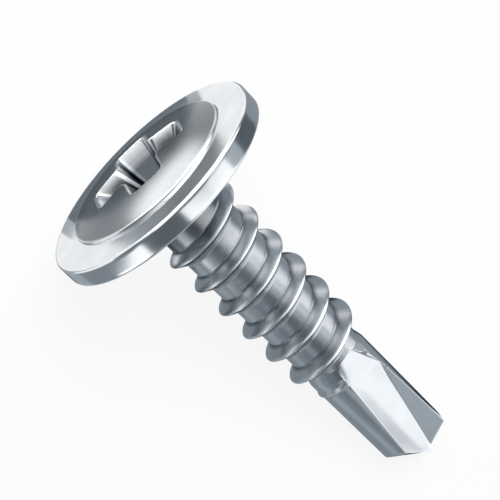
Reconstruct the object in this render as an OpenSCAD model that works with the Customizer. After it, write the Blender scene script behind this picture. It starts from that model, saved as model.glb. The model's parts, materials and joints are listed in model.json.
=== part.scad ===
// Self drilling screw with a wide washer head, a cross recess and a forged drill point.
// It is one forged and thread-rolled piece. Sizes are in millimetres.
// The screw is built upright: the bearing face lies at z = 0, the tip points along +Z and the
// head is below. Then it is laid down, so that it rests on its rim and on its drill point.

/* [Head] */
// Diameter of the washer flange
flange_d = 10.5; // [9.5:0.1:12]
// Thickness of the flange at its rim
flange_t = 0.88; // [0.6:0.02:1.4]
// How much the flange's top rises from the rim to the dome
flange_rise = 0.1; // [0:0.01:0.3]
// Radius of the round along both edges of the rim
rim_round = 0.1; // [0.04:0.01:0.2]
// Diameter of the dome at its foot
dome_d = 7.8; // [6.8:0.1:8.6]
// Height of the small upright step at the foot of the dome
dome_step = 0.12; // [0.02:0.01:0.3]
// Height of the dome above its step
dome_h = 0.6; // [0.4:0.01:1.2]

/* [Cross recess] */
// Width across two opposite wings at the mouth
recess_span = 4.6; // [4:0.1:5.2]
// Width across two opposite wings at the bottom
recess_floor_span = 1.6; // [1.2:0.1:1.9]
// Width of one wing at the mouth
wing_w = 1.6; // [1.1:0.05:1.8]
// Width of one wing at the bottom
wing_floor_w = 0.8; // [0.5:0.05:1]
// Depth of the wings below the top of the dome
recess_depth = 2; // [1.6:0.05:2.3]
// Depth of the blunt point below the wings
recess_point = 0.35; // [0.1:0.05:0.5]
// Radius of the rounded corner where two wings meet, at the mouth
wing_root_round = 0.3; // [0.1:0.05:0.5]
// Radius of the rounded corners at the end of a wing, at the mouth
wing_tip_round = 0.28; // [0.1:0.02:0.4]
// Turn of the cross about the axis, in degrees
recess_turn = 5; // [0:1:45]

/* [Shank and thread] */
// Length from the bearing face to the end of the drill point
shank_l = 18.4; // [16:0.1:40]
// Outer diameter of the thread
thread_d = 4.2; // [3.9:0.05:4.3]
// Diameter of the core below the head
core_d = 3.22; // [3:0.02:3.3]
// Diameter of the core at the end of the thread
core_end_d = 2.98; // [2.8:0.02:3.2]
// Distance from one turn of the thread to the next
pitch = 1.57; // [1.4:0.01:1.8]
// Width of the flat on the crest of the thread
crest_w = 0.06; // [0.05:0.01:0.2]
// Length along the axis of the flank that faces the head
head_flank_w = 0.32; // [0.2:0.01:0.45]
// Length along the axis of the flank that faces the point
point_flank_w = 0.42; // [0.2:0.01:0.5]
// Distance from the bearing face to where the thread begins
thread_start = 1.15; // [1:0.05:2]
// Length over which the thread rises to its full height
thread_lead_in = 0.6; // [0.3:0.05:1]
// Length over which the thread fades out on the drill point
thread_run_out = 2.7; // [1.5:0.1:3]
// How far the last turn of the thread runs onto the drill point
thread_overrun = 1.65; // [0.8:0.05:2]
// Share of its full height that the thread keeps up to its end
thread_tail = 0.16; // [0.05:0.01:0.3]
// Radius of the fillet below the bearing face
neck_fillet = 0.6; // [0.3:0.05:0.6]

/* [Drill point] */
// Diameter of the drill point
drill_d = 3.17; // [3.1:0.01:3.3]
// Length of the drill point, from its full diameter to its end
drill_l = 6.9; // [5.5:0.1:7.5]
// Length of each flute beside its rake face
flute_l = 5.8; // [4.5:0.1:6]
// Length over which each flute runs in before its rake face
flute_run_in = 1.75; // [1:0.05:2]
// Thickness of the web between the two flutes at the end
web_t = 0.42; // [0.3:0.02:0.8]
// Slope of the two end faces, in degrees
point_slope = 50; // [35:1:55]
// How far each flute's wall is dished below a flat one
flute_dish = 0.16; // [0:0.01:0.25]

/* [Hidden] */
$fn = 96;

// Facets round one turn of the thread
turn_steps = 60;
// Points along a rounded edge
arc_steps = 5;
// Facets across a flute's dished wall, and rings along it
dish_steps = 6;
flute_steps = 6;
// How far a cutting shape reaches past what it cuts
overcut = 0.4;

flange_r = flange_d / 2;
dome_r = dome_d / 2;
thread_r = thread_d / 2;
drill_r = drill_d / 2;

// Places along the axis: the head lies below zero, the point above
dome_foot_z = -(flange_t + flange_rise);
dome_edge_z = dome_foot_z - dome_step;
dome_top_z = dome_edge_z - dome_h;
dome_ball_r = (dome_r * dome_r + dome_h * dome_h) / (2 * dome_h);
drill_z = shank_l - drill_l;
flute_z = shank_l - flute_l;

// The neck is a little thicker than the core, and the thread starts behind it
neck_r = core_d / 2 + 0.08;
neck_chamfer = 0.2;
neck_end_z = neck_fillet + neck_chamfer;

// The wings of the recess end on the dome at this place along the axis
recess_mouth_z = dome_top_z + dome_ball_r - sqrt(pow(dome_ball_r, 2) - pow(recess_span / 2, 2));
recess_floor_z = dome_top_z + recess_depth;
floor_tip_round = 0.12;
floor_root_round = 0.08;
// The blunt point ends in a small cross of this reach and width
point_reach = 0.3;
point_w = 0.4;

// The core widens to the drill point over this length
core_flare = 0.5;
thread_end = drill_z + thread_overrun;
thread_fade_z = thread_end - thread_run_out;
// Turning angle about the axis at which the thread begins
thread_phase = 180;
// A low stretch of thread keeps at least this share of its width
least_width_share = 0.15;
thread_steps = round((thread_end - thread_start) / pitch * turn_steps);

// Turning angles in degrees about the axis, for the first flute. The rake face, which ends in
// the cutting lip, leans at lip_angle, and the flute's other side is its heel.
lip_angle = 19;
rake_start_angle = 33;
heel_start_angle = 106;
heel_angle = 124;
chisel_angle = 50;
// Each flute's corners lie just outside the surface that they cut
flute_r = drill_r + 0.02;
// The run-in starts just above the core, on an arc between these two angles
run_in_r = core_end_d / 2 + 0.01;
run_in_angles = [60, 99];

function lerp(a, b, t) = a + (b - a) * t;
function clamp01(t) = max(0, min(1, t));
function on_circle(r, angle) = [r * cos(angle), r * sin(angle)];
function polar(r, angle, z) = [r * cos(angle), r * sin(angle), z];
function arc(cx, cy, r, from, to, n) =
    [for (i = [0 : n - 1]) [cx, cy] + on_circle(r, lerp(from, to, i / (n - 1)))];

// A closed skin over a stack of rings that all have the same number of points
module loft(rings) {
    n = len(rings[0]);
    last = len(rings) - 1;
    points = [for (ring = rings) each ring];
    sides = [
        for (i = [0 : last - 1], j = [0 : n - 1])
            let (a = i * n + j, b = i * n + (j + 1) % n)
                each [[a, a + n, b + n], [a, b + n, b]]
    ];
    low_cap = [[for (j = [0 : n - 1]) j]];
    high_cap = [[for (j = [n - 1 : -1 : 0]) last * n + j]];
    polyhedron(points = points, faces = concat(low_cap, sides, high_cap));
}

// Flange and neck in one turned outline, from the axis out to the rim and back
module flange_and_neck() {
    neck_top_z = neck_end_z + neck_chamfer;
    outline = concat(
        [[0, neck_top_z], [neck_r - neck_chamfer, neck_top_z], [neck_r, neck_end_z]],
        arc(neck_r + neck_fillet, neck_fillet, neck_fillet, 180, 270, arc_steps + 1),
        arc(flange_r - rim_round, -rim_round, rim_round, 90, 0, arc_steps),
        arc(flange_r - rim_round, -flange_t + rim_round, rim_round, 0, -90, arc_steps),
        [[dome_r, dome_foot_z], [0, dome_foot_z]]
    );
    rotate_extrude() polygon(outline);
}

// The dome is a slice of a ball above a low round step
module dome() {
    intersection() {
        translate([0, 0, dome_top_z + dome_ball_r]) sphere(r = dome_ball_r);
        translate([0, 0, dome_top_z - overcut]) cylinder(r = dome_r, h = overcut - dome_top_z);
    }
}

// One quarter of the cross outline: a wing's corner, the inner corner, the next wing's corner
function cross_quarter(reach, half_w, tip_round, root_round) = concat(
    arc(reach - tip_round, half_w - tip_round, tip_round, 0, 90, 3),
    arc(half_w + root_round, half_w + root_round, root_round, 270, 180, 4),
    arc(half_w - tip_round, reach - tip_round, tip_round, 0, 90, 3)
);
function cross_ring(reach, half_w, tip_round, root_round, z) = [
    for (quarter = [0 : 3], p = cross_quarter(reach, half_w, tip_round, root_round))
        let (turn = 90 * quarter + recess_turn, c = cos(turn), s = sin(turn))
            [p[0] * c - p[1] * s, p[0] * s + p[1] * c, z]
];

// A ring of the cross at a share of the way from the mouth to the floor
function recess_ring(share) = cross_ring(
    lerp(recess_span, recess_floor_span, share) / 2,
    lerp(wing_w, wing_floor_w, share) / 2,
    lerp(wing_tip_round, floor_tip_round, share),
    lerp(wing_root_round, floor_root_round, share),
    lerp(recess_mouth_z, recess_floor_z, share)
);

// The four wings taper towards the floor, and a blunt point goes a little deeper
module drive_recess() {
    above = (dome_top_z - overcut - recess_mouth_z) / (recess_floor_z - recess_mouth_z);
    loft([
        recess_ring(above),
        recess_ring(1),
        cross_ring(point_reach, point_w / 2, floor_root_round, floor_root_round, recess_floor_z + recess_point)
    ]);
}

// Radius of the core at a place along the axis; it widens to the drill point's radius
function core_r(z) =
    let (flare_z = drill_z - core_flare)
        z < flare_z
            ? lerp(core_d, core_end_d, clamp01(z / flare_z)) / 2
            : lerp(core_end_d / 2, drill_r, clamp01((z - flare_z) / core_flare));

// Height of the thread above the core: a lead-in, the full height, then the run-out
function thread_h(z) =
    let (full = thread_r - core_r(z))
        z < thread_start + thread_lead_in ? full * clamp01((z - thread_start) / thread_lead_in)
        : z < thread_fade_z ? full
        : full * max(thread_tail, pow(1 - clamp01((z - thread_fade_z) / thread_run_out), 2));

// The four corners of the thread's section at one step along the helix
function thread_section(k) =
    let (
        angle = thread_phase + 360 * k / turn_steps,
        z = thread_start + pitch * k / turn_steps,
        h = k == thread_steps ? 0 : thread_h(z),
        width_share = max(least_width_share, h / (thread_r - core_r(z))),
        z0 = z - crest_w / 2 - head_flank_w * width_share,
        z3 = z + crest_w / 2 + point_flank_w * width_share
    ) [
        polar(core_r(z0), angle, z0),
        polar(core_r(z) + h, angle, z - crest_w / 2),
        polar(core_r(z) + h, angle, z + crest_w / 2),
        polar(core_r(z3), angle, z3)
    ];

// Core, thread and the drill point's round body as one closed skin. Each turn of the thread
// is followed by a strip of core that reaches to the next turn.
module threaded_shank() {
    n = turn_steps;
    last = thread_steps;
    low_z = -flange_t / 2;
    high_z = shank_l + overcut;
    end_angle = thread_phase + 360 * last / n;
    points = concat(
        [for (k = [0 : last]) each thread_section(k)],
        [for (j = [0 : n - 1]) polar(core_d / 2, thread_phase + 360 * j / n, low_z)],
        [for (j = [0 : n - 1]) polar(drill_r, end_angle + 360 * j / n, high_z)]
    );
    low = 4 * (last + 1);
    high = low + n;
    first = last - n;
    thread = [
        for (k = [0 : last - 1], m = [0 : 2])
            let (a = 4 * k + m) each [[a, a + 1, a + 5], [a, a + 5, a + 4]]
    ];
    core = [
        for (k = [0 : last - n - 1])
            let (a = 4 * k + 3, d = 4 * (k + n)) each [[a, d, d + 4], [a, d + 4, a + 4]]
    ];
    low_skin = [
        for (j = [0 : n - 2])
            let (a = low + j, d = 4 * j) each [[a, d, d + 4], [a, d + 4, a + 1]]
    ];
    // Round the start of the thread the skin steps from the section's corners to the core
    low_edges = [[4 * n, 3], [3, 2], [2, 1], [1, 0], [0, low], [low, low + n - 1]];
    low_seam = [for (e = low_edges) [4 * (n - 1), e[0], e[1]]];
    high_skin = [
        for (j = [1 : n - 1])
            let (a = 4 * (first + j) + 3, d = high + j, c = high + (j + 1) % n)
                each [[a, d, c], [a, c, a + 4]]
    ];
    high_edge = [4 * first + 3, 4 * last, 4 * last + 1, 4 * last + 2, 4 * last + 3, high, high + 1];
    high_seam = [for (i = [0 : 5]) [4 * (first + 1) + 3, high_edge[i], high_edge[i + 1]]];
    low_cap = [[for (j = [0 : n - 1]) low + j]];
    high_cap = [[for (j = [n - 1 : -1 : 0]) high + j]];
    polyhedron(
        points = points,
        faces = concat(thread, core, low_skin, low_seam, high_skin, high_seam, low_cap, high_cap)
    );
}

// Section of one flute: from its bottom out along the rake face, round outside the screw to
// the heel, and back to the bottom along the dished wall
function flute_ring(z, bottom, heel, dish) =
    let (
        wall = heel - bottom,
        sag = dish * [wall[1], -wall[0]] / norm(wall),
        out = thread_r + overcut,
        flat = [
            bottom,
            [out, bottom[1] + (out - bottom[0]) * tan(lip_angle)],
            [out, 2 * out],
            [heel[0], 2 * out],
            for (i = [dish_steps : -1 : 1])
                let (t = i / dish_steps) bottom + wall * t - sag * sin(180 * t)
        ]
    ) [for (p = flat) [p[0], p[1], z]];

// The bottom starts on the drill point's surface and ends beside the web
function flute_at(share) = flute_ring(
    lerp(flute_z, shank_l, share),
    lerp(on_circle(flute_r, rake_start_angle), [web_t / 2, 0], share),
    on_circle(flute_r, lerp(heel_start_angle, heel_angle, share)),
    flute_dish
);

module flute() {
    run_in_bottom = on_circle(run_in_r, run_in_angles[0]);
    run_in_heel = on_circle(run_in_r, run_in_angles[1]);
    run_in_rise = run_in_r * (1 - cos((run_in_angles[1] - run_in_angles[0]) / 2));
    loft([
        flute_ring(flute_z - flute_run_in, run_in_bottom, run_in_heel, -run_in_rise),
        for (i = [0 : flute_steps]) flute_at(i / flute_steps * (1 + overcut / flute_l))
    ]);
}

// The two sloping end faces meet in the chisel edge, like a roof
module point_roof() {
    w = drill_r + 1;
    eaves_z = shank_l - w * tan(point_slope);
    rotate([0, 0, chisel_angle])
        rotate([90, 0, 90])
            translate([0, 0, -w])
                linear_extrude(height = 2 * w)
                    polygon([[-w, eaves_z], [0, shank_l], [w, eaves_z], [w, -flange_t], [-w, -flange_t]]);
}

module upright_screw() {
    difference() {
        union() {
            flange_and_neck();
            dome();
            difference() {
                intersection() {
                    threaded_shank();
                    point_roof();
                }
                flute();
                rotate([0, 0, 180]) flute();
            }
        }
        drive_recess();
    }
}

// Where a flute's two corners lie on the end faces: each corner's place along the axis follows
// from its angle, and its angle from its place
function corner_z(angle) = shank_l - tan(point_slope) * drill_r * abs(sin(angle - chisel_angle));
function share_at(z) = (z - flute_z) / flute_l;
function heel_at(z) = lerp(heel_start_angle, heel_angle, share_at(z));
function lip_at(z) =
    let (bottom = lerp(on_circle(flute_r, rake_start_angle), [web_t / 2, 0], share_at(z)))
        lip_angle + asin((bottom[1] * cos(lip_angle) - bottom[0] * sin(lip_angle)) / drill_r);
heel_z = corner_z(heel_at(corner_z(heel_at(corner_z(heel_angle)))));
lip_z = corner_z(lip_at(corner_z(lip_at(corner_z(lip_angle)))));
mid_flute = (heel_at(heel_z) + lip_at(lip_z)) / 2;
half_flute = (heel_at(heel_z) - lip_at(lip_z)) / 2;

// Lying down, the screw touches the ground with its rim and with both corners of the lower
// flute. It rolls a little, because the lip's corner lies nearer to the tip, and the roll and
// the tilt of the axis depend on each other.
function rest_roll(tilt) = asin((lip_z - heel_z) * tan(tilt) / (2 * drill_r * sin(half_flute)));
function rest_tilt(tilt, rounds) =
    let (
        corner_h = drill_r * cos(half_flute + rest_roll(tilt)),
        run = lip_z + rim_round,
        rise = flange_r - rim_round - corner_h
    )
        rounds == 0 ? tilt : rest_tilt(atan(rise / run) + asin(rim_round / norm([run, rise])), rounds - 1);
lie_tilt = rest_tilt(0, 4);
lie_roll = 180 - mid_flute - rest_roll(lie_tilt);
lie_z = rim_round * (1 - sin(lie_tilt)) + (flange_r - rim_round) * cos(lie_tilt);

// Ends of the lying screw along X: the rim or the dome at one end, the chisel at the other
rim_x = -(flange_r - rim_round) * sin(lie_tilt) - (flange_t - rim_round) * cos(lie_tilt) - rim_round;
dome_x = (dome_top_z + dome_ball_r) * cos(lie_tilt) - dome_ball_r;
tip_x = shank_l * cos(lie_tilt);
lie_x = -(min(rim_x, dome_x) + tip_x) / 2;

module screw() {
    color([0.72, 0.74, 0.76])
        translate([lie_x, 0, lie_z])
            rotate([0, 90 + lie_tilt, 0])
                rotate([0, 0, lie_roll])
                    upright_screw();
}

screw();
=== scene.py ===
# %% [markdown]
# # A self drilling screw
# The object is one forged and thread-rolled piece of zinc-plated steel: a wide washer head with
# a low dome and a cross recess, a shank with a coarse thread, and a drill point with two flutes.
# It lies on a pale floor, on its rim and on its drill point. This lesson builds it as one mesh
# that follows the real surfaces, gives it a plated finish, and lights it like a catalogue shot.

# %% Load the frame
import json
import math

import bmesh
import bpy
import numpy as np
from mathutils import Euler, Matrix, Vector


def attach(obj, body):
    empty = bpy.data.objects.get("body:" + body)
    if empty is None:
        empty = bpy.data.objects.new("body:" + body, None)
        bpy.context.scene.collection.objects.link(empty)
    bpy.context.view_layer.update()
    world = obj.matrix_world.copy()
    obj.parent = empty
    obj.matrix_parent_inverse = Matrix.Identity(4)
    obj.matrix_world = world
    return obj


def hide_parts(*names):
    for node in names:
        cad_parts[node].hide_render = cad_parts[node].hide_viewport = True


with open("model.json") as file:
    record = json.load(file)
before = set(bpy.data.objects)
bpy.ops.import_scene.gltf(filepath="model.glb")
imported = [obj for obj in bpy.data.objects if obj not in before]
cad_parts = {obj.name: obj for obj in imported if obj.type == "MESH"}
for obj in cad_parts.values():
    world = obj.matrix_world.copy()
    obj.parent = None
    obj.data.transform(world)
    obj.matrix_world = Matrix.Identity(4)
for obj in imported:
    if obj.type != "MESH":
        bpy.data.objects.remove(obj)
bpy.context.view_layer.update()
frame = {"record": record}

# %% [markdown]
# A turned part is easiest to think about standing upright: places along the axis are measured
# from the bearing face, where the head meets the sheet, towards the tip. So every point is made
# in that upright frame in millimetres, and one transform lays the finished mesh down. The place
# and the direction of the axis come from the record's mount. The turn about the axis is the one
# at which the screw comes to rest, on its rim and on two corners of its drill point.

# %% The lying frame
MM = 0.001
shank = next(mount for mount in frame["record"]["mounts"] if mount["name"] == "threaded_shank")
seat = np.array(shank["pos_m"])
axis = Vector(shank["axis"]).normalized()
lie_roll = math.radians(106.443)

side = Vector((0, 1, 0))
under = side.cross(axis)
local_x = under * math.cos(lie_roll) + side * math.sin(lie_roll)
local_y = side * math.cos(lie_roll) - under * math.sin(lie_roll)
upright_to_lying = np.array([local_x, local_y, axis])


def lay_down(points):
    """Upright points in millimetres become lying points in metres."""
    return seat + (points @ upright_to_lying) * MM


print("axis", tuple(round(value, 4) for value in axis))

# %% [markdown]
# The sizes are the construction's, in millimetres, and each set comes just before its step. The
# head comes first: its dome is a slice of a large ball on a low step. Places behind the bearing
# face are negative.

# %% Sizes of the head
flange_r = 5.25
flange_t = 0.88
flange_rise = 0.1
rim_round = 0.1
dome_r = 3.9
dome_step = 0.12
dome_h = 0.6
neck_r = 1.69
neck_fillet = 0.6
recess_span, recess_floor_span = 4.6, 1.6
wing_w, wing_floor_w = 1.6, 0.8
tip_round, floor_tip_round = 0.28, 0.12
root_round, floor_root_round = 0.3, 0.08
recess_depth = 2.0
recess_point = 0.35
recess_turn = math.radians(5)

dome_foot_z = -(flange_t + flange_rise)
dome_edge_z = dome_foot_z - dome_step
dome_top_z = dome_edge_z - dome_h
ball_r = (dome_r**2 + dome_h**2) / (2 * dome_h)
floor_z = dome_top_z + recess_depth
point_z = floor_z + recess_point
print("head:", 2 * flange_r, "mm across and", round(-dome_top_z, 2), "mm high")

# %% [markdown]
# The whole skin is one stack of rings, and every ring has the same number of points, so each
# ring is joined to the next with plain four-sided faces. Booleans would be quicker to write, but
# they leave ragged slivers along each edge, and metal shows each one in its highlights.

# %% Rings
COLUMNS = 192
column = np.arange(COLUMNS)
column_step = 2 * math.pi / COLUMNS
column_angle = math.pi + column_step * column


def lerp(a, b, share):
    return a + (b - a) * share


def ring(radius, place, angle=column_angle):
    """One ring of points round the axis."""
    return np.column_stack([radius * np.cos(angle), radius * np.sin(angle), np.broadcast_to(place, COLUMNS)])


def arc(centre_r, centre_z, radius, start, end, steps):
    """Points of a turned outline along an arc, with angles in degrees."""
    angles = np.radians(np.linspace(start, end, steps))
    return [(centre_r + radius * math.cos(a), centre_z + radius * math.sin(a)) for a in angles]


def line(start, end, steps):
    """Points of a turned outline between two corners, without the corners."""
    return [tuple(lerp(np.array(start), np.array(end), i / steps)) for i in range(1, steps)]


print("rings:", COLUMNS, "points each")

# %% [markdown]
# The cross recess is struck with a tapered punch. Its outline is a cross with rounded wing tips
# and rounded inner corners. A quarter of it takes a quarter of the columns: half a wing's end,
# its rounded tip, its side, and half the root between two wings, then the same again mirrored.

# %% Outline of the cross recess
QUARTER = COLUMNS // 4
WING_COLUMN = 93
quarter, quarter_step = np.divmod((column + WING_COLUMN) % COLUMNS, QUARTER)
folded = np.minimum(quarter_step, QUARTER - quarter_step)
# The end, the tip, the side and the root, each with its count of columns
part_columns = np.array([[4], [6], [9], [10]])
part_starts = np.cumsum(part_columns)[:, None] - part_columns
end_part, tip_part, side_part, root_part = np.clip((folded - part_starts) / part_columns, 0, 1)
tip_turn, root_turn = tip_part * math.pi / 2, root_part * math.pi / 2


def cross_outline(reach, half_w, tip, root):
    """The cross in the plane, one point for each column."""
    u = reach - tip + tip * np.cos(tip_turn)
    u = lerp(u, half_w + root, side_part) - root * np.sin(root_turn)
    v = lerp(0, half_w - tip, end_part) + tip * np.sin(tip_turn) + root * (1 - np.cos(root_turn))
    mirrored = quarter_step > QUARTER / 2
    x, y = np.where(mirrored, v, u), np.where(mirrored, u, v)
    turn = recess_turn + quarter * math.pi / 2
    return np.column_stack([x * np.cos(turn) - y * np.sin(turn), x * np.sin(turn) + y * np.cos(turn)])


def recess_outline(share, grow=0.0):
    """The outline at a share of the way from the mouth to the floor."""
    return cross_outline(
        lerp(recess_span, recess_floor_span, share) / 2 + grow,
        lerp(wing_w, wing_floor_w, share) / 2 + grow,
        lerp(tip_round, floor_tip_round, share) + grow,
        lerp(root_round, floor_root_round, share) - grow,
    )


def dome_z(radius):
    return dome_top_z + ball_r - np.sqrt(ball_r**2 - radius**2)


mouth_z = float(dome_z(recess_span / 2))


def recess_share_at(depth, grow=0.0):
    """Where each column's wall lies at a depth below the dome's own surface."""
    share = np.zeros(COLUMNS)
    for _ in range(30):
        radius = np.linalg.norm(recess_outline(share, grow), axis=1)
        share = (dome_z(radius) + depth - mouth_z) / (floor_z - mouth_z)
    return share


print("recess: the wings' mouth lies", round(mouth_z - dome_top_z, 2), "mm below the dome's top")

# %% [markdown]
# The head is built from the middle of the recess outwards: the blunt point, the floor, the
# tapered walls, a small round at the mouth where the punch drags the plated steel, and the dome.
# From the dome's edge on, everything is turned, so a list of radii and places is enough.

# %% Rings of the head
mouth_round = 0.07
mouth_turns = np.radians([18, 36, 54, 72, 90])
point_reach, point_half_w = 0.3, 0.2
dome_shares = [0.03, 0.08, 0.16, 0.27, 0.4, 0.53, 0.66, 0.79, 0.9, 0.97, 1]
dome_edge_round = 0.06
dome_foot_round = 0.05
neck_end = [(neck_r, 0.7), (neck_r, 0.8), (1.645, 0.845), (1.603, 0.887)]


def head_rings():
    """Rings from the blunt point of the recess out to the dome's edge."""
    rings = []
    small_cross = cross_outline(point_reach, point_half_w, floor_root_round, floor_root_round)
    floor_cross = recess_outline(1.0)
    for share in np.linspace(0, 1, 4):
        place = np.full(COLUMNS, lerp(point_z, floor_z, share))
        rings.append(np.column_stack([lerp(small_cross, floor_cross, share), place]))
    rim_share = recess_share_at(mouth_round)
    for share in np.linspace(0, 1, 14)[1:]:
        at = lerp(1.0, rim_share, share)
        rings.append(np.column_stack([recess_outline(at), lerp(mouth_z, floor_z, at)]))
    for turn in mouth_turns:
        grow = mouth_round * (1 - math.cos(turn))
        at = recess_share_at(mouth_round * (1 - math.sin(turn)), grow)
        rings.append(np.column_stack([recess_outline(at, grow), lerp(mouth_z, floor_z, at)]))
    mouth = rings[-1][:, :2]
    dome_end = ball_r * (dome_r - dome_edge_round) / (ball_r - dome_edge_round)
    circle = ring(dome_end, 0.0)[:, :2]
    for share in dome_shares:
        flat = lerp(mouth, circle, share)
        rings.append(np.column_stack([flat, dome_z(np.linalg.norm(flat, axis=1))]))
    return rings


def turned_outline():
    """Radii and places from the dome's edge over the rim to the end of the neck."""
    e, f = dome_edge_round, dome_foot_round
    edge_centre = dome_top_z + ball_r - math.sqrt((ball_r - e) ** 2 - (dome_r - e) ** 2)
    lean = math.degrees(math.asin((dome_r - e) / (ball_r - e)))
    rise = math.degrees(math.atan2(flange_rise, flange_r - rim_round - dome_r))
    rim_r = flange_r - rim_round
    points = arc(dome_r - e, edge_centre, e, lean - 90, 0, 6)[1:]
    points += arc(dome_r + f, dome_foot_z - f, f, 180, 90 + rise, 5)
    points += line(points[-1], (rim_r, -flange_t), 10)
    points += arc(rim_r, rim_round - flange_t, rim_round, rise - 90, 0, 7)
    points += line((flange_r, rim_round - flange_t), (flange_r, -rim_round), 6)
    points += arc(rim_r, -rim_round, rim_round, 0, 90, 7)
    points += line((rim_r, 0), (neck_r + neck_fillet, 0), 8)
    points += arc(neck_r + neck_fillet, neck_fillet, neck_fillet, 270, 180, 12)
    return points + neck_end


head = head_rings() + [ring(radius, place) for radius, place in turned_outline()]
print("head:", len(head), "rings; the recess is", round(floor_z - dome_top_z, 2), "mm deep")

# %% [markdown]
# The thread is rolled between dies. Its core tapers a little towards the point and flares to the
# round drill body, while the crest keeps one radius. The thread rises over a short lead-in below
# the head, runs out before the point, and goes on as a low tail until the flutes cut it off.

# %% Sizes of the thread
thread_r = 2.1
core_r, core_end_r = 1.61, 1.49
pitch = 1.57
crest_w = 0.06
head_flank_w, point_flank_w = 0.32, 0.42
thread_start = 1.15
thread_lead_in = 0.6
thread_end = 13.15
thread_run_out = 2.7
thread_tail = 0.16
thread_cut = 0.08
thread_phase = math.pi
least_width_share = 0.15
drill_r = 1.585
drill_z = 11.5
core_flare = 0.5
print("thread:", round((thread_end - thread_start) / pitch, 2), "turns, crest radius", thread_r)

# %% [markdown]
# Such a thread is sharp: two straight flanks, a narrow crest, and a small round at the root
# where the dies press the steel aside. A smooth minimum blends the corners. The one towards the
# head is rolled over more softly, which gives the crest its band of light. One function gives
# the shank's radius at any angle and place: the core, plus the thread's height at that offset
# from the nearest crest.

# %% Radius of the shank
HEAD_REACH = 0.6
CREST_SOFT, CREST_ROLL, ROOT_SOFT = 0.03, 0.14, 0.04
CREST_LIMIT, ROOT_LIMIT = 0.4, 0.8
TINY = 1e-6


def core_radius(place):
    return np.interp(place, [0, drill_z - core_flare, drill_z], [core_r, core_end_r, drill_r])


def thread_height(crest):
    """The thread's height where its crest is at a place along the axis."""
    full = thread_r - core_radius(crest)
    rise = np.clip((crest - thread_start) / thread_lead_in, 0, 1)
    fade_start = thread_end - thread_run_out
    left = 1 - np.clip((crest - fade_start) / thread_run_out, 0, 1)
    share = np.where(crest < fade_start, rise, np.maximum(thread_tail, left**2))
    return full * share * np.clip((thread_end - crest) / thread_cut, 0, 1)


def soft_min(a, b, soft):
    """The smaller of two values, with the corner between them rounded off."""
    share = np.clip(0.5 + 0.5 * (b - a) / soft, 0, 1)
    return lerp(b, a, share) - soft * share * (1 - share)


def width_share(crest):
    """A low stretch of thread is narrower too."""
    return np.maximum(least_width_share, thread_height(crest) / (thread_r - core_radius(crest)))


def thread_profile(offset, crest):
    """Height of the thread at an offset along the axis from its crest."""
    height = thread_height(crest)
    width = width_share(crest)
    head_side = height * (1 + (offset + crest_w / 2) / (head_flank_w * width))
    point_side = height * (1 + (crest_w / 2 - offset) / (point_flank_w * width))
    soft, roll = (np.minimum(size, CREST_LIMIT * height) + TINY for size in (CREST_SOFT, CREST_ROLL))
    raised = soft_min(soft_min(head_side, height, roll), point_side, soft)
    root_soft = np.minimum(ROOT_SOFT, ROOT_LIMIT * height) + TINY
    return -soft_min(-raised, 0.0, root_soft)


def shank_radius(angle, place):
    crest = thread_start + pitch * (angle - thread_phase) / (2 * math.pi)
    offset = np.mod(place - crest + HEAD_REACH, pitch) - HEAD_REACH
    return core_radius(place) + thread_profile(offset, place - offset)


print("shank: largest radius at 6 mm", round(float(shank_radius(column_angle, 6.0).max()), 3))

# %% [markdown]
# If the thread were cut from level rings, its crest would cross from ring to ring and show
# steps. So between two level rings the rows of points climb with the helix: each row keeps its
# own offset from the crest. Rows that would leave the zone are held on its first or last ring,
# and the faces between held points shrink to triangles or vanish.

# %% Rows that follow the thread
ZONE_START, ZONE_END = 0.95, 10.35
flank_share = np.array([0, 0.08, 0.16, 0.3, 0.5, 0.7, 0.85, 0.95, 1.05, 1.2])
root_share = np.array([0.25, 0.5, 0.75])


def row_offsets(width):
    """Offsets of all rows from the crest, for each step along the helix."""
    head_flank = -(crest_w / 2 + head_flank_w * width * flank_share[::-1])
    point_flank = crest_w / 2 + point_flank_w * width * flank_share
    crest = np.broadcast_to([-crest_w / 4, 0, crest_w / 4], (len(width), 3))
    head_root = lerp(-HEAD_REACH, head_flank[:, :1], np.concatenate([[0], root_share]))
    point_root = lerp(point_flank[:, -1:], pitch - HEAD_REACH, root_share)
    return np.hstack([head_root, head_flank, crest, point_flank, point_root])


def thread_rows(first_point, low_ring, high_ring):
    """Points and faces between two rings, which are given by their first point's number."""
    first_step = math.floor((ZONE_START - thread_start - pitch) / pitch * COLUMNS)
    last_step = math.ceil((ZONE_END - thread_start + HEAD_REACH) / pitch * COLUMNS) + 1
    step = np.arange(first_step, last_step + 1)
    crest = (thread_start + pitch * step / COLUMNS)[:, None]
    offset = row_offsets(width_share(crest))
    place = crest + offset
    angle = (thread_phase + column_step * step)[:, None]
    radius = core_radius(place) + thread_profile(offset, crest)
    points = np.stack([radius * np.cos(angle), radius * np.sin(angle), place], axis=-1)

    low, high = place <= ZONE_START, place >= ZONE_END
    free = ~(low | high)
    number = np.zeros(place.shape, int)
    number[free] = first_point + np.arange(free.sum())
    own_column = np.broadcast_to((step % COLUMNS)[:, None], place.shape)
    number[low] = low_ring + own_column[low]
    number[high] = high_ring + own_column[high]

    # The row above the last one is the first row of the next turn
    next_turn = high_ring + step % COLUMNS
    next_turn[:-COLUMNS] = number[COLUMNS:, 0]
    number = np.hstack([number, next_turn[:, None]])
    a, b, c, d = number[:-1, :-1], number[1:, :-1], number[1:, 1:], number[:-1, 1:]
    faces = []
    for corners in np.stack([a, b, c, d], axis=-1).reshape(-1, 4).tolist():
        kept = [n for i, n in enumerate(corners) if n != corners[i - 1]]
        if len(kept) > 2 and len(set(kept)) == len(kept):
            faces.append(kept)
    return points[free], faces


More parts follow.
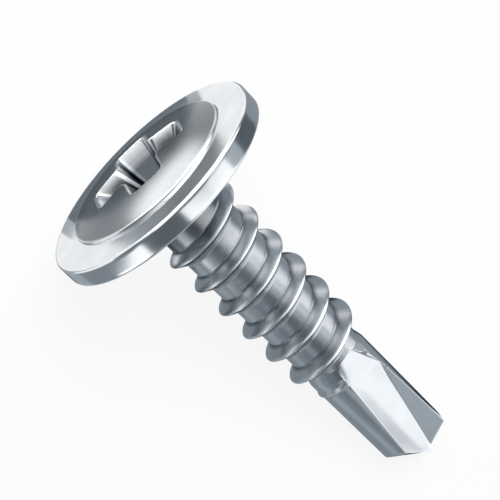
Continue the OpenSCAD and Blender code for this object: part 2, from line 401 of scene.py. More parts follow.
low_ring = ring(shank_radius(column_angle, ZONE_START), ZONE_START)
high_ring = ring(shank_radius(column_angle, ZONE_END), ZONE_END)
print("thread rows:", len(row_offsets(np.ones((1, 1)))[0]), "for each turn")

# %% [markdown]
# The drill point is forged between two dies, which pinch two flutes into the round end, and its
# two end faces slope back from a chisel edge. The flutes run in to the round shank on a curve.

# %% Sizes of the drill point
shank_l = 18.4
flute_z = 12.6
flute_run_in = 1.75
flute_dish = 0.16
web_half = 0.21
lip_angle = math.radians(19)
chisel_angle = math.radians(50)
point_slope = math.radians(50)
flute_stations = [flute_z - flute_run_in, flute_z, shank_l]
print("flutes: from", flute_stations[0], "to", shank_l, "mm below the head")

# %% [markdown]
# Across the screw, each flute is a straight rake face, a small round at the bottom and a dished
# wall out to the heel. Each part keeps its own columns all the way along, so the cutting lip
# and the heel stay crisp.

# %% Section of the flutes
run_in_r = core_end_r + 0.01
flute_r = drill_r + 0.02
run_in_start, run_in_end = math.radians(60), math.radians(99)
run_in_rise = run_in_r * (1 - math.cos((run_in_end - run_in_start) / 2))
bottom_r, bottom_turn = drill_r - 0.012, math.radians(33)
heel_turns = [106, 124]


def on_circle(radius, angle):
    return np.array([radius * np.cos(angle), radius * np.sin(angle)])


def turn_of(flat):
    """The angle round the axis of points in the plane."""
    return np.arctan2(flat[..., 1], flat[..., 0])


# The bottom stays just under the round body, so that the lip is one unbroken line
flute_bottoms = np.array([on_circle(run_in_r, run_in_start), on_circle(bottom_r, bottom_turn), (web_half, 0)])


def flute_corners(place):
    """The flute's bottom, its heel and the depth of its dish at a place along the axis."""
    bottom = np.array([np.interp(place, flute_stations, flute_bottoms[:, k]) for k in (0, 1)])
    run_in = np.interp(place, flute_stations[:2], [0, 1])
    heel_turn = math.radians(np.interp(place, flute_stations[1:], heel_turns))
    heel = lerp(on_circle(run_in_r, run_in_end), on_circle(flute_r, heel_turn), run_in)
    return bottom, heel, lerp(-run_in_rise, flute_dish, run_in)


def flute_wall(place, share):
    """Points on the dished wall, at shares of the way from the bottom to the heel."""
    bottom, heel, dish = flute_corners(place)
    chord = heel - bottom
    inward = np.array([-chord[1], chord[0]]) / np.linalg.norm(chord)
    share = np.atleast_1d(share)[:, None]
    return bottom + chord * share + inward * dish * np.sin(math.pi * share)


print("flute wall at the tip:", np.round(flute_wall(shank_l, [0, 1]), 2).tolist())

# %% [markdown]
# The wall leaves the round body where its points stop lying inside it, and a dense row of trial
# points shows where. One of the wall's columns has to run into the end of the chisel edge, so
# on the way down the columns are moved a little towards it.

# %% Columns of the flute's wall
WALL_COLUMNS = 27
CHISEL_COLUMN = 7
AIM_START, AIM_LENGTH = 11.6, 1.0
trials = np.linspace(0, 1, 801)


def wall_reach(place, body_r):
    """First and last share of the wall that lie inside the round body."""
    gap = np.linalg.norm(flute_wall(place, trials), axis=1) - body_r
    inside = np.nonzero(gap < 0)[0]
    if len(inside) == 0:
        middle = trials[np.argmin(gap)]
        return middle, middle
    pairs = [[inside[0], max(inside[0] - 1, 0)], [inside[-1], min(inside[-1] + 1, len(trials) - 1)]]
    return [float(np.interp(0, gap[pair], trials[pair])) for pair in pairs]


def aim_at_chisel(place, shares):
    """The wall's columns, with one of them led to the end of the chisel edge."""
    target = trials[np.argmin(np.abs(turn_of(flute_wall(place, trials)) - chisel_angle))]
    for _ in range(6):
        near = np.array([target - 1e-3, target + 1e-3])
        turns = turn_of(flute_wall(place, near))
        target = float(np.interp(chisel_angle, turns, near, left=near[0], right=near[1]))
    aimed = lerp(shares[CHISEL_COLUMN], target, np.clip((place - AIM_START) / AIM_LENGTH, 0, 1))
    known = [0, CHISEL_COLUMN, WALL_COLUMNS - 1]
    return np.interp(np.arange(WALL_COLUMNS), known, [shares[0], aimed, shares[-1]])


print("wall at the tip: inside between", np.round(wall_reach(shank_l, drill_r), 3).tolist())

# %% [markdown]
# Half a section goes round from the lip over the rake face, the bottom, the wall and the heel to
# the land. Small curves soften its three corners. Near the start of the flute the wall hardly
# touches the body, so there its columns keep a least width.

# %% Half a section
CORNER = 5
RAKE_COLUMNS = 10
LAND_COLUMNS = COLUMNS // 2 - 3 * CORNER - RAKE_COLUMNS - WALL_COLUMNS
EDGE_SOFT, EDGE_LIMIT = 0.03, 0.3
BOTTOM_SOFT, BOTTOM_LIMIT = 0.12, 0.4
RUN_IN_SOFT = 0.01
LEAST_WALL = 0.25
lip_gaps, lip_gap_end = [15, 2], 11.45


def rounded_corner(before, corner, after):
    """A short curve from one side of a corner to the other."""
    t = np.linspace(0, 1, CORNER)[:, None]
    return before * (1 - t) ** 2 + corner * 2 * t * (1 - t) + after * t**2


def between(count):
    """Even shares between two corners, without the corners."""
    return np.arange(1, count + 1) / (count + 1)


def shank_point(turn, place):
    return on_circle(shank_radius(turn, place), turn)


def half_section(place):
    """Half of the section at a place along the axis, as points in the plane."""
    body_r = float(core_radius(place))
    bottom, heel, _ = flute_corners(place)
    start, end = wall_reach(place, body_r)
    middle, half = (start + end) / 2, max((end - start) / 2, LEAST_WALL)
    start, end = max(middle - half, 0), min(middle + half, 1)
    along_rake = on_circle(1.0, lip_angle)
    raked = np.linalg.norm(bottom) < body_r
    if raked:
        inner = bottom
        b = bottom @ along_rake
        lip = bottom + along_rake * (math.sqrt(b * b + body_r**2 - bottom @ bottom) - b)
    else:
        inner = flute_wall(place, start)[0]
        gap = math.radians(np.interp(place, [flute_stations[0], lip_gap_end], lip_gaps))
        lip = on_circle(body_r, turn_of(inner) - gap)
        inner = inner * min(1, body_r / np.linalg.norm(inner))
    rake = lip - inner
    rake_l = np.linalg.norm(rake)
    rake = rake / rake_l
    wall_l = np.linalg.norm(heel - bottom)
    soft = min(BOTTOM_SOFT, BOTTOM_LIMIT * rake_l) if raked else RUN_IN_SOFT
    edge = min(EDGE_SOFT, EDGE_LIMIT * rake_l)

    before_lip = turn_of(lip) - edge / body_r
    heel_point = flute_wall(place, end)[0]
    after_heel = turn_of(heel_point) + EDGE_SOFT / body_r
    wall_start, wall_end = start + soft / wall_l, end - EDGE_SOFT / wall_l

    lip_corner = rounded_corner(shank_point(before_lip, place), lip, lip - rake * edge)
    bottom_corner = rounded_corner(inner + rake * soft, inner, flute_wall(place, wall_start)[0])
    rake_line = lerp(lip_corner[-1], bottom_corner[0], between(RAKE_COLUMNS)[:, None])
    shares = lerp(wall_start, wall_end, between(WALL_COLUMNS))
    wall = flute_wall(place, aim_at_chisel(place, shares))
    heel_corner = rounded_corner(flute_wall(place, wall_end)[0], heel_point, shank_point(after_heel, place))
    land = shank_point(lerp(after_heel, before_lip + math.pi, between(LAND_COLUMNS)), place).T
    return np.vstack([lip_corner, rake_line, bottom_corner, wall, heel_corner, land])


print("half a section:", len(half_section(shank_l)), "points,", LAND_COLUMNS, "on the land")

# %% [markdown]
# The second half is the first one turned by half a turn. Above the flutes the columns are
# spread evenly, so they drift from their even places to their own parts over a short stretch.
# No part of a flute may stand out of the body: a point that would is pulled back to it.

# %% Rings of the drill point
FIRST_COLUMN = 106
FLUTE_TOP = flute_stations[0]
EVEN_START, ROOF_START = 13.3, 15.8
FINE, MIDDLE, COARSE = 0.02, 0.04, 0.25


def to_ring(half, place):
    """Both halves as one ring, on their own columns."""
    flat = np.vstack([half, -half])
    pull = np.minimum(1, shank_radius(turn_of(flat), place) / np.linalg.norm(flat, axis=1))
    flat = np.roll(flat * pull[:, None], FIRST_COLUMN, axis=0)
    return np.column_stack([flat, np.broadcast_to(place, COLUMNS)])


def drifting_ring(place):
    """A level ring whose columns are on their way to their parts of the flute."""
    own = np.unwrap(turn_of(half_section(FLUTE_TOP)))
    even = math.pi + column_step * (FIRST_COLUMN + np.arange(COLUMNS // 2)) - 2 * math.pi
    share = (place - ZONE_END) / (FLUTE_TOP - ZONE_END)
    turn = lerp(even, own, share * share * (3 - 2 * share))
    turn = np.roll(np.concatenate([turn, turn + math.pi]), FIRST_COLUMN)
    return ring(shank_radius(turn, place), place, turn)


drill_rings = [drifting_ring(place) for place in np.arange(ZONE_END + FINE, FLUTE_TOP - FINE / 4, FINE)]
flute_places = np.concatenate([
    np.arange(FLUTE_TOP, AIM_START, FINE),
    np.arange(AIM_START, EVEN_START, MIDDLE),
    np.arange(EVEN_START, ROOF_START + 0.01, COARSE),
])
drill_rings += [to_ring(half_section(place), place) for place in flute_places]
print("drill point:", len(drill_rings), "rings before its end")

# %% [markdown]
# The two end faces meet in the chisel edge, like a roof. Each column ends where it meets that
# roof. Its place there depends on where the column stands, and where it stands depends on the
# place, so the two are worked out in turn until they agree.

# %% End of the drill point
END_EDGE = 0.025
END_RINGS = 12
END_SECTIONS = 53
FIRST_GUESS = 17.0
chisel = on_circle(1.0, chisel_angle)
end_places = np.linspace(ROOF_START, shank_l, END_SECTIONS)
end_sections = np.array([to_ring(half_section(place), place)[:, :2] for place in end_places])


def roof_z(flat):
    """Where a line along the axis through each point meets the two end faces."""
    across = flat[:, 1] * chisel[0] - flat[:, 0] * chisel[1]
    return shank_l - math.tan(point_slope) * np.abs(across)


def columns_at(place):
    """Where each column stands at its own place along the axis."""
    return np.column_stack([
        [np.interp(place[j], end_places, end_sections[:, j, k]) for j in range(COLUMNS)] for k in (0, 1)
    ])


column_end = np.full(COLUMNS, FIRST_GUESS)
for _ in range(25):
    column_end = roof_z(columns_at(column_end))


def inset(flat, distance):
    """The outline moved inwards."""
    tangent = np.roll(flat, -1, axis=0) - np.roll(flat, 1, axis=0)
    tangent /= np.linalg.norm(tangent, axis=1)[:, None]
    return flat + distance * np.column_stack([-tangent[:, 1], tangent[:, 0]])


for share in np.linspace(0, 1, END_RINGS + 1)[1:]:
    place = lerp(end_places[0], column_end - END_EDGE, share)
    drill_rings.append(np.column_stack([columns_at(place), place]))
chisel_column = 2 * CORNER + RAKE_COLUMNS + CHISEL_COLUMN + FIRST_COLUMN
chisel_columns = sorted((chisel_column + half) % COLUMNS for half in (0, COLUMNS // 2))
face_outline = inset(columns_at(column_end), END_EDGE)
for j in chisel_columns:
    face_outline[j] = chisel * (face_outline[j] @ chisel)
drill_rings.append(np.column_stack([face_outline, roof_z(face_outline)]))
print("end: the columns end between", np.round([column_end.min(), column_end.max()], 2).tolist())

# %% [markdown]
# Now the stack is joined up: a fan closes the middle of the recess, two flat faces close the
# point along the chisel edge, and the thread's rows fill the gap between the two level rings.

# %% One closed mesh
def skin():
    """All points of the upright screw and all faces between them."""
    stack = head + [low_ring, high_ring] + drill_rings
    starts = [1 + COLUMNS * i for i in range(len(stack) + 1)]
    last_low, last = len(head), starts[-2]
    following = (column + 1) % COLUMNS
    faces = []
    for i in range(len(stack) - 1):
        if i != last_low:
            a, b = starts[i] + column, starts[i] + following
            faces += np.column_stack([a, b, b + COLUMNS, a + COLUMNS]).tolist()
    faces += np.column_stack([0 * column, 1 + following, 1 + column]).tolist()
    rows, row_faces = thread_rows(starts[-1], starts[last_low], starts[last_low + 1])
    first, second = chisel_columns
    spans = range(first, second + 1), range(second, first + COLUMNS + 1)
    end_faces = [[last + j % COLUMNS for j in span] for span in spans]
    return np.vstack([[0.0, 0.0, point_z], *stack, rows]), faces + row_faces + end_faces


upright, faces = skin()
print("skin:", len(upright), "points,", len(faces), "faces")

# %% [markdown]
# Two masks go with the points for the finish. Handling polishes the corners first, so the first
# mask is how strongly the surface bends outwards. The second is painted shade: it darkens the
# coat where shade falls, on the thread's flank towards the point, along the root of its other
# flank, on the neck under the head, and down the recess.

# %% Worn places and painted shade
WEAR_START, WEAR_RANGE = 2.5, 8
# Strengths of the painted shade on the thread's flanks and on the neck, and the depth over which it grows in
# the recess
TIP_SIDE_SHADE, ROOT_SHADE, NECK_SHADE = 0.65, 0.6, 0.6
NECK_FADE_START, NECK_FADE = 1.6, 1.6
RECESS_SHADE_DEPTH = 0.8


def fade(value, start, length):
    """Nothing up to the start, and all of it one length further on."""
    return np.clip((value - start) / length, 0, 1)


def outward_bend(points, normals, edges):
    """How strongly the surface bends outwards at each point: one over its radius in millimetres."""
    a, b = edges[:, 0], edges[:, 1]
    step = points[b] - points[a]
    length = np.maximum((step**2).sum(axis=1), 1e-4)
    bend = np.zeros(len(points))
    np.maximum.at(bend, a, -2 * (normals[a] * step).sum(axis=1) / length)
    np.maximum.at(bend, b, 2 * (normals[b] * step).sum(axis=1) / length)
    return bend


def painted_shade_at(points, normals, worn):
    """How dark the painted shade is at each point."""
    radius, place = np.hypot(points[:, 0], points[:, 1]), points[:, 2]
    height_share = (radius - core_radius(place)) / (thread_r - core_radius(place))
    # Painted shade on the flank towards the point and along the root of the flank towards the head
    tip_side = fade(normals[:, 2], 0.1, 0.3) * np.maximum(fade(height_share, 0.4, 0.3), 0.05)
    head_side_root = fade(-normals[:, 2], 0.05, 0.2) * (1 - fade(height_share, 0.08, 0.2))
    past_neck = place > ZONE_START
    thread_shade = np.maximum(TIP_SIDE_SHADE * tip_side, ROOT_SHADE * head_side_root) * past_neck
    # Painted shade under the head, fading out down the neck
    neck_shade = NECK_SHADE * (1 - fade(place, NECK_FADE_START, NECK_FADE))
    neck_shade *= 1 - fade(radius, neck_r + 0.2, 0.3)
    neck_shade *= np.where(past_neck, np.clip(1 - 3 * height_share, 0, 1), 1)
    on_shank = (place > 0.05) & (place < drill_z - core_flare)
    depth = place - dome_z(np.minimum(radius, dome_r))
    in_recess = (depth > 0.02) & (radius < recess_span / 2 + 0.02) & (place < point_z + 0.01)
    # In the recess the painted shade grows with depth, except on worn edges
    recess_shade = np.where(in_recess, fade(depth, 0, RECESS_SHADE_DEPTH) * (1 - worn), 0)
    return np.where(on_shank, np.maximum(neck_shade, thread_shade), recess_shade)


print("painted shade: the neck's fades out by", NECK_FADE_START + NECK_FADE, "mm below the head")

# %% [markdown]
# Blender needs to know which edges are real corners. Those that turn by more than a set angle
# are marked sharp, and everything else is shaded smooth. The place of each point on the upright
# screw is stored too, so that the finish keeps to the screw however it lies.

# %% The screw's mesh
SHARP = math.radians(40)


def new_object(name, data):
    """An object that stands in the scene."""
    made = bpy.data.objects.new(name, data)
    bpy.context.scene.collection.objects.link(made)
    return made


def build_screw():
    """The mesh object, with its sharp edges and the values that the finish reads."""
    mesh = bpy.data.meshes.new("screw")
    mesh.from_pydata(lay_down(upright).tolist(), [], faces)
    work = bmesh.new()
    work.from_mesh(mesh)
    bmesh.ops.recalc_face_normals(work, faces=work.faces)
    if work.calc_volume(signed=True) < 0:
        bmesh.ops.reverse_faces(work, faces=work.faces)
    open_edges = 0
    for edge in work.edges:
        open_edges += not edge.is_manifold
        edge.smooth = edge.calc_face_angle(0) < SHARP
    for face in work.faces:
        face.smooth = True
    work.to_mesh(mesh)
    print("volume", round(work.calc_volume() / MM**3, 1), "mm3, open edges", open_edges)
    work.free()
    edges = np.array([edge.vertices for edge in mesh.edges])
    normals = np.array([vertex.normal for vertex in mesh.vertices]) @ upright_to_lying.T
    worn = fade(outward_bend(upright, normals, edges), WEAR_START, WEAR_RANGE)
    mesh.attributes.new("upright", "FLOAT_VECTOR", "POINT").data.foreach_set("vector", upright.ravel())
    # The second mask is painted shade, kept as a value on each point
    for label, values in (("worn", worn), ("painted_shade", painted_shade_at(upright, normals, worn))):
        mesh.attributes.new(label, "FLOAT", "POINT").data.foreach_set("value", values)
    piece = new_object("screw_plated", mesh)
    weighted = piece.modifiers.new("even shading", "WEIGHTED_NORMAL")
    weighted.keep_sharp = True
    weighted.weight = 50
    return piece


screw = build_screw()
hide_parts("screw")
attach(screw, "root")
print("screw:", sum(len(face) - 2 for face in faces), "triangles")

# %% [markdown]
# Bright zinc plating is a thin metal coat with a very fine grain. All zones of the screw share
# three effects: a cloudy mottling, fine marks left by the dies in one direction, and the wear
# with the painted shade. Each is a node group, built once, which gets its own values in each
# zone's material. A few helpers keep that code short.

# %% Helpers for nodes
def fill(tree, node, inputs):
    """Gives a node's inputs, by name or number, their links or plain values."""
    for key, value in inputs.items():
        if isinstance(value, bpy.types.NodeSocket):
            tree.links.new(value, node.inputs[key])
        else:
            node.inputs[key].default_value = value
    return node


def add(tree, kind, inputs=None, **settings):
    """A new node with its settings and its inputs."""
    node = tree.nodes.new(kind)
    for key, value in settings.items():
        setattr(node, key, value)
    return fill(tree, node, inputs or {})


def math_node(tree, operation, *values):
    return add(tree, "ShaderNodeMath", dict(enumerate(values)), operation=operation).outputs[0]


def mix_colours(tree, share, first, second):
    inputs = {"Factor": share, "A": first, "B": second}
    return add(tree, "ShaderNodeMix", inputs, data_type="RGBA", blend_type="MIX").outputs["Result"]


def new_group(name, inputs, outputs):
    """A node group, the sockets that give its inputs, and its output node."""
    group = bpy.data.node_groups.new(name, "ShaderNodeTree")
    for label, (kind, value) in inputs.items():
        socket = group.interface.new_socket(label, in_out="INPUT", socket_type="NodeSocket" + kind)
        if value is not None:
            socket.default_value = value
    for label, kind in outputs.items():
        group.interface.new_socket(label, in_out="OUTPUT", socket_type="NodeSocket" + kind)
    return group, group.nodes.new("NodeGroupInput").outputs, group.nodes.new("NodeGroupOutput")


def new_material(name):
    material = bpy.data.materials.new(name)
    material.use_nodes = True
    return material, material.node_tree


print("node helpers for Blender", bpy.app.version_string)

# %% [markdown]
# The mottling is noise at two scales: soft clouds about a millimetre wide, and the grain of the
# zinc crystals, a tenth of that. It works in the upright frame, so its scales are millimetres.

# %% Group: mottling
mottling, given, out = new_group(
    "Plating mottle",
    {"Place": ("Vector", None), "Cloud Scale": ("Float", 0.9), "Grain Scale": ("Float", 14.0)},
    {"Clouds": "Float", "Grain": "Float"},
)
for label, scale, detail in (("Clouds", "Cloud Scale", 3.0), ("Grain", "Grain Scale", 2.0)):
    inputs = {"Vector": given["Place"], "Scale": given[scale], "Detail": detail}
    fill(mottling, out, {label: add(mottling, "ShaderNodeTexNoise", inputs).outputs["Fac"]})
print("group:", mottling.name)

# %% [markdown]
# Dies leave marks along the way that the steel moved. Stretching the noise in one direction
# gives them: along the axis in the flutes, and round the axis on the thread, where the place is
# first turned into radius, angle and height.

# %% Group: die marks
die_marks, given, out = new_group(
    "Die marks", {"Place": ("Vector", None), "Stretch": ("Vector", (9.0, 9.0, 0.5))}, {"Marks": "Float"}
)
factors = {0: given["Place"], 1: given["Stretch"]}
stretched = add(die_marks, "ShaderNodeVectorMath", factors, operation="MULTIPLY").outputs[0]
noise = add(die_marks, "ShaderNodeTexNoise", {"Vector": stretched, "Scale": 1.0, "Detail": 4.0})
fill(die_marks, out, {"Marks": noise.outputs["Fac"]})

round_place, given, out = new_group("Round place", {"Place": ("Vector", None)}, {"Round Place": "Vector"})
x, y, z = add(round_place, "ShaderNodeSeparateXYZ", {0: given["Place"]}).outputs
squares = [math_node(round_place, "MULTIPLY", value, value) for value in (x, y)]
radius = math_node(round_place, "SQRT", math_node(round_place, "ADD", *squares))
parts = {0: math_node(round_place, "ARCTAN2", y, x), 1: radius, 2: z}
fill(round_place, out, {"Round Place": add(round_place, "ShaderNodeCombineXYZ", parts).outputs[0]})
print("groups:", die_marks.name, "and", round_place.name)

# %% [markdown]
# On worn corners the coat is polished to a brighter metal, and painted shade darkens it. The
# masks come in as numbers, so the group could serve any part that has such masks.

# %% Group: wear and film
POLISHED = (0.9, 0.91, 0.92, 1)
# The colour of the painted shade
SHADE_COLOUR = (0.1, 0.115, 0.13, 1)
wear_and_shade, given, out = new_group(
    "Wear and painted shade",
    {"Coat": ("Color", None), "Worn": ("Float", 0.0), "Painted Shade": ("Float", 0.0), "Polish": ("Float", 0.9)},
    {"Color": "Color"},
)
polish = math_node(wear_and_shade, "MULTIPLY", given["Worn"], given["Polish"])
polished = mix_colours(wear_and_shade, polish, given["Coat"], POLISHED)
fill(wear_and_shade, out, {"Color": mix_colours(wear_and_shade, given["Painted Shade"], polished, SHADE_COLOUR)})
print("group:", wear_and_shade.name)

# %% [markdown]
# Each zone's material has the same build. The coat's colour moves between two greys with the
# clouds, and wear and painted shade are laid over it. The painted shade also dims the brightness
# that metal has at a glancing angle. The roughness follows the clouds and the marks, and a
# shallow bump takes the marks and the grain.

# %% The plated finish
GRAIN_DEPTH = 0.0001
LEAST_ROUGH = 0.08
WHITE, SHADED_EDGE_TINT = (1, 1, 1, 1), (0.2, 0.22, 0.24, 1)


def plated(name, dark, light, rough, spread=0.04, stretch=(2.0, 2.0, 2.0), mark_depth=0.0005, turned=False):
    """One zone's material. Its marks run round the axis where turned is set."""
    material, tree = new_material(name)
    place = add(tree, "ShaderNodeAttribute", attribute_name="upright").outputs["Vector"]
    worn, painted_shade = (
        add(tree, "ShaderNodeAttribute", attribute_name=label).outputs["Fac"] for label in ("worn", "painted_shade")
    )
    scales = {"Place": place, "Cloud Scale": 0.9, "Grain Scale": 14.0}
    clouds, grain = add(tree, "ShaderNodeGroup", scales, node_tree=mottling).outputs
    if turned:
        place = add(tree, "ShaderNodeGroup", {"Place": place}, node_tree=round_place).outputs[0]
    stretched = {"Place": place, "Stretch": stretch}
    marks = add(tree, "ShaderNodeGroup", stretched, node_tree=die_marks).outputs["Marks"]

    shade = add(tree, "ShaderNodeValToRGB", {"Fac": clouds})
    for stop, position, colour in zip(shade.color_ramp.elements, (0.3, 0.7), (dark, light)):
        stop.position, stop.color = position, (*colour, 1)
    wear = {"Coat": shade.outputs["Color"], "Worn": worn, "Painted Shade": painted_shade, "Polish": 0.9}
    wavering = math_node(tree, "SUBTRACT", math_node(tree, "ADD", clouds, marks), 1.0)
    roughness = math_node(tree, "MULTIPLY_ADD", wavering, spread, rough)
    deep, fine = (math_node(tree, "MULTIPLY", *pair) for pair in ((marks, mark_depth), (grain, GRAIN_DEPTH)))
    height = math_node(tree, "ADD", deep, fine)
    fill(tree, tree.nodes["Principled BSDF"], {
        "Base Color": add(tree, "ShaderNodeGroup", wear, node_tree=wear_and_shade).outputs["Color"],
        "Metallic": 1.0,
        "Roughness": math_node(tree, "MAXIMUM", roughness, LEAST_ROUGH),
        # Painted shade dims the glancing brightness as well
        "Specular Tint": mix_colours(tree, painted_shade, WHITE, SHADED_EDGE_TINT),
        "Normal": add(tree, "ShaderNodeBump", {"Strength": 1.0, "Distance": MM, "Height": height}).outputs[0],
    })
    return material


finishes = [
    plated("recess zinc", (0.6, 0.63, 0.66), (0.7, 0.73, 0.76), 0.24),
    # The dome's coat is painted far darker than the flange's: painted shade on the whole dome
    plated("dome zinc painted dark", (0.163, 0.187, 0.206), (0.183, 0.207, 0.226), 0.26),
    plated("flange zinc", (0.76, 0.79, 0.82), (0.84, 0.86, 0.88), 0.16),
    plated("thread zinc", (0.66, 0.69, 0.72), (0.74, 0.77, 0.8), 0.26, 0.04, (1.2, 14.0, 14.0), 0.0004, True),
    plated("point zinc", (0.7, 0.73, 0.76), (0.76, 0.79, 0.83), 0.2, 0.06, (7.0, 7.0, 0.6)),
]
for material in finishes:
    screw.data.materials.append(material)
print("finishes:", [material.name for material in finishes])

# %% [markdown]
# The zones meet at real edges: the recess's mouth, the dome's foot, the first turn of the thread
# and the start of the flutes. Each face gets the finish of the zone that its centre lies in.

# %% Zones
RECESS, DOME, FLANGE, THREAD, POINT = range(5)
MARGIN = 0.01


def zone_of(face):
    """Which finish a face has."""
    centre = upright[face].mean(axis=0)
    radius, place = math.hypot(centre[0], centre[1]), centre[2]
    if place < dome_foot_z - MARGIN and radius < dome_r + MARGIN:
        return RECESS if place > dome_z(radius) + MARGIN else DOME
    if radius < core_end_r and place < point_z + MARGIN:
        return RECESS
    return FLANGE if place < ZONE_START else THREAD if place < FLUTE_TOP else POINT


zone = np.array([zone_of(face) for face in faces])
screw.data.polygons.foreach_set("material_index", zone.astype(np.int32))
print("finish: faces by zone", np.bincount(zone).tolist())

# %% [markdown]
# The camera stands where the photograph's camera stood: it looks down steeply, and it is rolled
# so that the screw runs from the upper left to the lower right of the picture.

# %% Camera
camera_data = bpy.data.cameras.new("camera")
camera_data.sensor_width = 36
camera_data.lens = 100.8
camera_data.clip_start = 0.001
camera = new_object("camera", camera_data)
camera.location = Vector((-14.048, -14.674, 60.525)) * MM
camera.rotation_euler = Euler([math.radians(angle) for angle in (5.032, -17.776, 38.8)])
bpy.context.scene.camera = camera
bpy.context.scene.view_settings.view_transform = "Standard"
print("camera:", round(camera.location.z / MM, 1), "mm above the floor")

# %% [markdown]
# A catalogue shot has a white ground. The floor is a plain pale surface that catches a soft
# shadow, and for rays from the camera, off metal or through glass it is mixed with plain white,
# so it shows white without more light on the screw. The world gives a faint cold light from all
# round, and behind the floor's edge the camera sees it nearly white.

# %% Floor and world
FLOOR_HALF = 400
CAMERA_WHITE = 0.9


def flat_piece(name, corners, material):
    """One flat face of the studio, with its corners in millimetres."""
    mesh = bpy.data.meshes.new(name)
    mesh.from_pydata([Vector(corner) * MM for corner in corners], [], [list(range(len(corners)))])
    mesh.materials.append(material)
    piece = new_object(name, mesh)
    return piece


ground, tree = new_material("pale floor")
dull = {"Base Color": (0.86, 0.86, 0.87, 1), "Roughness": 0.9, "Specular IOR Level": 0.0}
shader = fill(tree, tree.nodes["Principled BSDF"], dull)
rays = add(tree, "ShaderNodeLightPath").outputs
seen = math_node(tree, "MULTIPLY", rays["Is Camera Ray"], CAMERA_WHITE)
mirrored = math_node(tree, "MAXIMUM", rays["Is Glossy Ray"], rays["Is Transmission Ray"])
white = add(tree, "ShaderNodeEmission", {"Color": WHITE})
parts = {0: math_node(tree, "MAXIMUM", seen, mirrored), 1: shader.outputs[0], 2: white.outputs[0]}
mixed = add(tree, "ShaderNodeMixShader", parts)
fill(tree, tree.nodes["Material Output"], {"Surface": mixed.outputs[0]})
corners = [(x * FLOOR_HALF, y * FLOOR_HALF, 0) for x, y in ((-1, -1), (1, -1), (1, 1), (-1, 1))]
flat_piece("floor", corners, ground)

world = bpy.data.worlds.new("studio")
world.use_nodes = True
bpy.context.scene.world = world
sky = world.node_tree
glow = fill(sky, sky.nodes["Background"], {"Color": (0.78, 0.93, 1.06, 1), "Strength": 0.2})
backdrop = add(sky, "ShaderNodeBackground", {"Color": WHITE, "Strength": 0.95})
by_camera = add(sky, "ShaderNodeLightPath").outputs["Is Camera Ray"]
both = add(sky, "ShaderNodeMixShader", {0: by_camera, 1: glow.outputs[0], 2: backdrop.outputs[0]})
fill(sky, sky.nodes["World Output"], {"Surface": both.outputs[0]})
print("floor:", 2 * FLOOR_HALF, "mm wide")

# %% [markdown]
# Metal shows its surroundings more than its own colour, so a product photographer stands white
# and dark cards round it, and each one shows as a band on the surfaces that mirror it. Here
# only rays off the metal see the cards, so they neither light the floor nor stand in any view.

# %% Cards
COLD = (0.76, 0.92, 1.05)
SKY_DISTANCE = 130


def card(name, corners, level, warmth=1.0):
    """A flat card, seen only in reflections. The dimmer it is, the colder is its light."""
    material, tree = new_material(name)
    colour = (*(lerp(cold, 1.0, min(level, 1) * warmth) for cold in COLD), 1)
    glow = add(tree, "ShaderNodeEmission", {"Color": colour, "Strength": level})
    fill(tree, tree.nodes["Material Output"], {"Surface": glow.outputs[0]})
    material.cycles.emission_sampling = "NONE"
    piece = flat_piece(name, corners, material)
    piece.visible_camera = piece.visible_diffuse = piece.visible_shadow = piece.visible_transmission = False


def ground_card(name, outline, level, z=0.02, warmth=1.0):
    card(name, [(x, y, z) for x, y in outline], level, warmth)


def sky_card(name, turn, rise, level):
    """A standing card that covers a range of directions, in degrees, as seen from the screw."""
    corners = []
    for t, r in ((turn[0], rise[0]), (turn[1], rise[0]), (turn[1], rise[1]), (turn[0], rise[1])):
        across, up = on_circle(SKY_DISTANCE, math.radians(r))
        corners.append((*on_circle(across, math.radians(t)), up))
    card(name, corners, level)


print("a card of level 0.3 glows in", [round(lerp(cold, 1.0, 0.3), 2) for cold in COLD])

# %% [markdown]
# The cards on the ground make the dark and light bands on the head and on the underside of the
# shank. Three grey strips beside the head's dark card let its edge fade out on the flange.

# %% Cards on the ground
ground_card("front ground", [(-9.5, -9), (-9.5, -390), (390, -390), (390, -9)], 0.28)
ground_card("near ground", [(-8, -4), (60, -4), (60, -9), (-20, -9), (-20, -6), (-9.3, -5.2)], 0.42)
ground_card("shadow side ground", [(-6.5, -0.8), (60, -0.8), (60, -4), (-8, -4)], 0.3)
ground_card("thread's dark card", [(-10.3, -3.3), (-3.5, -3.3), (-3.5, -5.6), (-10.3, -5.6)], 0.12, 0.04)
ground_card("under the shank", [(-4, -0.8), (10, -0.8), (10, 4.5), (-4, 4.5)], 0.03, 0.04)
dark_edge = [(-20.5, 0.5), (-18.5, -0.8), (-14, -2.3)]
ground_card("head's dark card", dark_edge + [(-14, 6.3), (-16, 6.3), (-20.5, 5.5)], 0.13)
for low, high, level in ((0.0, 0.9, 0.38), (0.9, 1.8, 0.27), (1.8, 2.8, 0.19)):
    strip = [(x, y + low) for x, y in dark_edge] + [(x, y + high) for x, y in dark_edge[::-1]]
    ground_card(f"head's grey card {low}", strip, level, 0.03)
ground_card("head's near card", [(-14, -2.3), (-12.5, -2.6), (-10.9, -2.6), (-10.9, 6.2), (-14, 6.3)], 0.34)
ground_card("head's foot card", [(-10.9, -2.6), (-9, -2.6), (-9, 6.2), (-10.9, 6.2)], 0.2)
ground_card("head's bright card", [(-40, -4.5), (-21.5, -2.2), (-21.5, 9), (-40, 12)], 5.2, warmth=1.55)
ground_card("head's foot edge", [(-11.4, 6.2), (-9, 6.2), (-9, 5.5), (-11.1, 5.5)], 0.5, 0.04)
ground_card("head's foot end", [(-11.2, -3.2), (-9, -3.2), (-9, -2.5), (-11, -2.5)], 0.5, 0.05)
far_outline = [(-60, 330), (-14, 20), (-14, 9.5), (-9, 8.6), (-4, 4.5), (11, 4.5), (150, 330)]
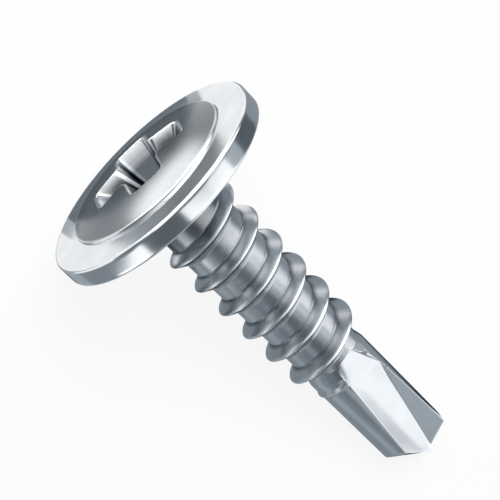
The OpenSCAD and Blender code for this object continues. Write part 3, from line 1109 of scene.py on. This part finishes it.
ground_card("far ground", far_outline, 0.33)
ground_card("right ground", [(12, 5), (60, 5), (300, 60), (300, 330), (155, 330)], 0.8)

# %% [markdown]
# The standing cards are named for their side. The thread's core shows those of the far side as
# one soft band of light that darkens towards the camera. The last few are small and stand close
# to the screw, for the rim and for the walls of the recess.

# %% Standing cards
sky_card("far side box", (-8, 38), (1, 33), 1.24)
sky_card("low corner box", (38, 62), (1, 16), 0.95)
sky_card("corner box", (38, 62), (16, 38), 1.1)
sky_card("edge box", (60, 78), (1, 35), 0.5)
sky_card("upper box", (15, 60), (38, 58), 0.8)
sky_card("upper end box", (-12, 15), (38, 58), 0.42)
sky_card("rake box", (-52, -14), (2, 27), 0.48)
sky_card("overhead box", (85, 190), (17, 88), 2.4)
sky_card("overhead side box", (190, 215), (52, 88), 2.4)
sky_card("recess box", (190, 215), (17, 52), 1.15)
sky_card("camera side box", (215, 262), (66, 89), 1.4)
sky_card("dark sky", (-80, -12), (26, 60), 0.14)
card("rim strip", [(2, -7.5, 25.4), (8, -7.5, 25.4), (12, 19, 25.4), (5, 19, 25.4)], 1.3)
card("low rim strip", [(-2.1, -20.3, 1.2), (4, -20.3, 1.2), (4, -20.3, 15.6), (-0.6, -20.3, 15.6)], 1.35)
card("rim flag", [(-5.8, 15, 6), (3, 15, 6), (4, 15, 15), (-4, 15, 15)], 0.12)
card("upper rim flag", [(-0.6, 15, 15), (4, 15, 15.6), (5, 15, 23), (2.2, 15, 23)], 0.5)
card("recess card", [(-18, -6, 7.2), (-18, 2, 7.2), (-18, 2, 10.9), (-18, -6, 10.9)], 1.3)
card("wing card", [(-16, -13, 20), (-7.4, -13, 20), (-7.4, -2, 20), (-16, -2, 20)], 1.1)

# %% [markdown]
# One wide overhead lamp lights the floor and gives the soft shadow under the screw. It isn't
# seen in the metal, because the cards are there for that.

# %% Lights
LAMP_SIZE = (160, 140)
LAMP_BRIGHTNESS = 4.6
light = bpy.data.lights.new("overhead lamp", "AREA")
light.shape = "RECTANGLE"
light.size, light.size_y = (length * MM for length in LAMP_SIZE)
light.energy = LAMP_BRIGHTNESS * math.pi * light.size * light.size_y
lamp = new_object("overhead lamp", light)
lamp.location = Vector((-60, 60, 140)) * MM
lamp.rotation_euler = (Vector((0, 0, 5)) * MM - lamp.location).to_track_quat("-Z", "Y").to_euler()
lamp.visible_glossy = False
